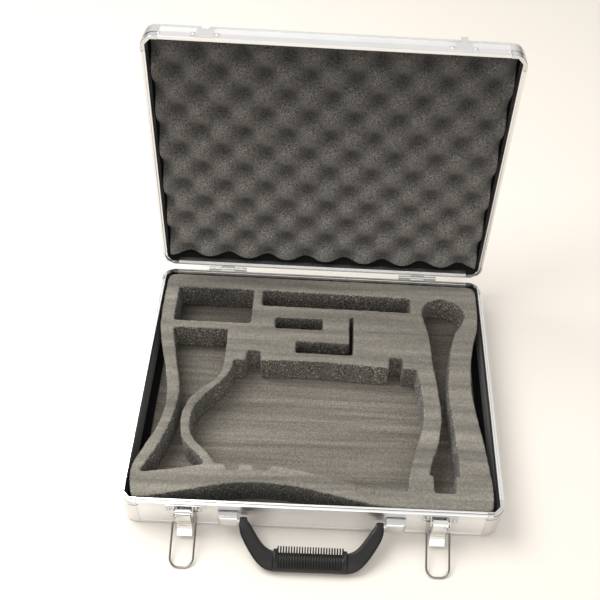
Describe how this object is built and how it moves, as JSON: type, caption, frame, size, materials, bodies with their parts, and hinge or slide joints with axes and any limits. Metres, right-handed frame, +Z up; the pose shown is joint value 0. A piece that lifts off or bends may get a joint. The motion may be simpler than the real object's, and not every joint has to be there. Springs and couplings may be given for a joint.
{
  "type": "carry case",
  "caption": "Flat aluminium-skinned carry case with a cut-out foam insert, egg-crate lid foam, draw latches, hinges and a swinging grip handle.",
  "frame": {"origin": "centre of the underside of the base, midway between its sides and between its front and back faces", "axes": "+X to the case's right as seen from the handle side, +Y from the handle side to the hinges, +Z up from the table through the open top"},
  "size_m": [0.4316, 0.4615, 0.3998],
  "materials": {
    "panel_aluminium": "fine brushed satin skin",
    "rail_aluminium": "satin extruded rail",
    "corner_cap_metal": "smooth pressed metal",
    "rim_corner_chrome": "bright plated",
    "rivet_steel": "bright domed heads",
    "black_lining": "black cloth lining",
    "insert_foam": "open-cell grey foam",
    "pad_foam": "open-cell grey foam",
    "egg_crate_foam": "charcoal convoluted foam",
    "handle_plastic": "black moulded plastic",
    "handle_plate_metal": "thin satin plate",
    "hinge_steel": "plated steel",
    "hardware_chrome": "bright plated pressings and wire"
  },
  "bodies": {
    "base": {"base_bottom_panel": "panel_aluminium", "base_side_wall": "panel_aluminium", "base_rim_rails": "rail_aluminium", "base_bottom_trim": "rail_aluminium", "base_liner": "black_lining", "base_corner_cap_front_left": "corner_cap_metal", "base_corner_cap_front_right": "corner_cap_metal", "base_corner_cap_back_left": "corner_cap_metal", "base_corner_cap_back_right": "corner_cap_metal", "base_rim_corner_front_left": "rim_corner_chrome", "base_rim_corner_front_right": "rim_corner_chrome", "base_rim_corner_back_left": "rim_corner_chrome", "base_rim_corner_back_right": "rim_corner_chrome", "base_corner_rivets": "rivet_steel", "floor_pad": "pad_foam", "foam_insert": "insert_foam", "latch_plate_left": "hardware_chrome", "latch_plate_right": "hardware_chrome", "latch_pin_left": "hinge_steel", "latch_pin_right": "hinge_steel", "latch_rivets": "rivet_steel", "handle_bracket_left": "hardware_chrome", "handle_bracket_right": "hardware_chrome", "handle_pin_left": "hinge_steel", "handle_pin_right": "hinge_steel", "handle_back_plate": "handle_plate_metal", "hinge_base_leaf_left": "hinge_steel", "hinge_base_leaf_right": "hinge_steel", "hinge_pin_left": "hinge_steel", "hinge_pin_right": "hinge_steel", "hinge_base_rivets": "rivet_steel"},
    "lid": {"lid_top_panel": "panel_aluminium", "lid_side_wall": "panel_aluminium", "lid_rim_rails": "rail_aluminium", "lid_top_trim": "rail_aluminium", "lid_liner": "black_lining", "lid_foam": "egg_crate_foam", "lid_corner_cap_front_left": "corner_cap_metal", "lid_corner_cap_front_right": "corner_cap_metal", "lid_corner_cap_back_left": "corner_cap_metal", "lid_corner_cap_back_right": "corner_cap_metal", "lid_rim_corner_front_left": "rim_corner_chrome", "lid_rim_corner_front_right": "rim_corner_chrome", "lid_rim_corner_back_left": "rim_corner_chrome", "lid_rim_corner_back_right": "rim_corner_chrome", "lid_corner_rivets": "rivet_steel", "catch_plate_left": "hardware_chrome", "catch_plate_right": "hardware_chrome", "catch_rivets": "rivet_steel", "hinge_lid_leaf_left": "hinge_steel", "hinge_lid_leaf_right": "hinge_steel", "hinge_lid_rivets": "rivet_steel"},
    "handle": {"handle": "handle_plastic"},
    "latch_lever_left": {"latch_lever_left": "hardware_chrome"},
    "latch_lever_right": {"latch_lever_right": "hardware_chrome"},
    "latch_bail_left": {"latch_bail_left": "hardware_chrome"},
    "latch_bail_right": {"latch_bail_right": "hardware_chrome"}
  },
  "joints": [
    {"name": "lid_hinge", "type": "hinge", "parent": "base", "child": "lid", "pos_m": [0, 0.17365, 0.0508], "axis": [1, 0, 0], "range_deg": [0, 95.9]},
    {"name": "handle_swing", "type": "hinge", "parent": "base", "child": "handle", "pos_m": [0, -0.176, 0.0281], "axis": [-1, 0, 0], "range_deg": [0, 102]},
    {"name": "latch_lever_left_turn", "type": "hinge", "parent": "base", "child": "latch_lever_left", "pos_m": [-0.1425, -0.176, 0.043], "axis": [1, 0, 0], "range_deg": [-100, 0]},
    {"name": "latch_bail_left_swing", "type": "hinge", "parent": "latch_lever_left", "child": "latch_bail_left", "pos_m": [-0.1425, -0.178, 0.0215], "axis": [-1, 0, 0], "range_deg": [0, 118.5]},
    {"name": "latch_lever_right_turn", "type": "hinge", "parent": "base", "child": "latch_lever_right", "pos_m": [0.1425, -0.176, 0.043], "axis": [1, 0, 0], "range_deg": [-100, 0]},
    {"name": "latch_bail_right_swing", "type": "hinge", "parent": "latch_lever_right", "child": "latch_bail_right", "pos_m": [0.1425, -0.178, 0.0215], "axis": [-1, 0, 0], "range_deg": [0, 118.5]}
  ]
}
